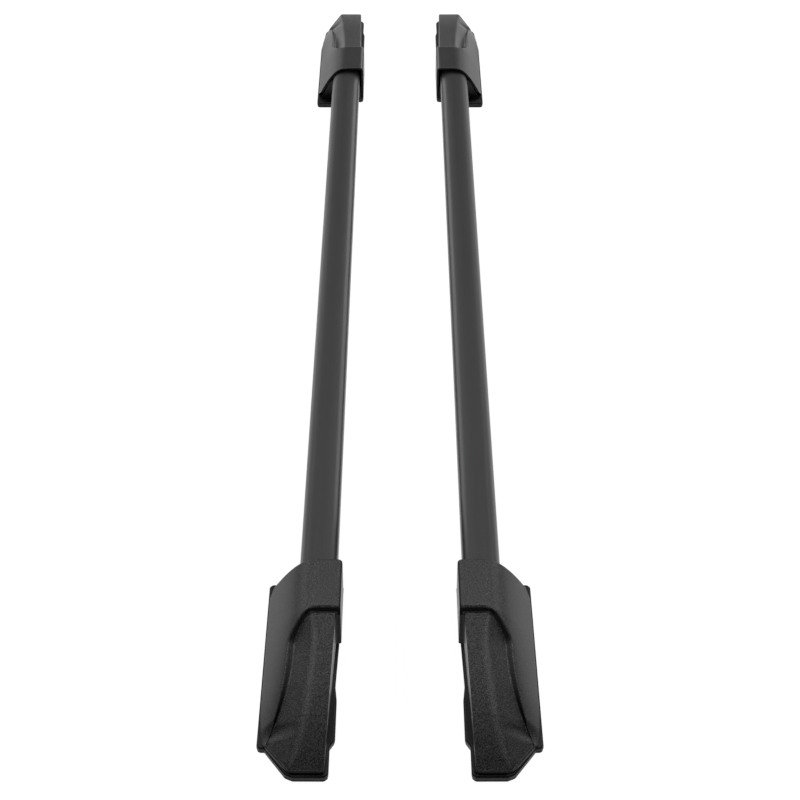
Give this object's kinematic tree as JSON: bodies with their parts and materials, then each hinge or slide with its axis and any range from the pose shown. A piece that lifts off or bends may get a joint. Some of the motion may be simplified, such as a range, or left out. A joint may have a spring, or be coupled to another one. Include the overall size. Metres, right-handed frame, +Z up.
{
  "type": "roof side rail pair",
  "caption": "Pair of black raised roof side rails: long slim bars ending in swept moulded feet with a collar, a flared wing and a stepped nose that tapers to the roof.",
  "frame": {"origin": "on the ground, midway between the two rails and midway along them", "axes": "+Y along the rails towards the rear, +Z up, and X across the pair with the left rail on -X. Each rail toes in by 0.27 degrees towards the rear. The front feet, on -Y, are the wider ones and the nearer ones in the picture"},
  "size_m": [0.2944, 1.6617, 0.06],
  "materials": {
    "bar_coat": "black anodised, fine satin",
    "cover_plastic": "black, finely grained",
    "cast_base": "black powder coat",
    "gasket_rubber": "matt black",
    "steel": "zinc plated"
  },
  "bodies": {
    "root": {"left_bar": "bar_coat", "left_front_cover": "cover_plastic", "left_front_base": "cast_base", "left_front_gasket": "gasket_rubber", "left_front_inserts": "steel", "left_front_bar_screws": "steel", "left_front_cover_screws": "steel", "left_rear_cover": "cover_plastic", "left_rear_base": "cast_base", "left_rear_gasket": "gasket_rubber", "left_rear_inserts": "steel", "left_rear_bar_screws": "steel", "left_rear_cover_screws": "steel", "right_bar": "bar_coat", "right_front_cover": "cover_plastic", "right_front_base": "cast_base", "right_front_gasket": "gasket_rubber", "right_front_inserts": "steel", "right_front_bar_screws": "steel", "right_front_cover_screws": "steel", "right_rear_cover": "cover_plastic", "right_rear_base": "cast_base", "right_rear_gasket": "gasket_rubber", "right_rear_inserts": "steel", "right_rear_bar_screws": "steel", "right_rear_cover_screws": "steel"}
  },
  "joints": []
}
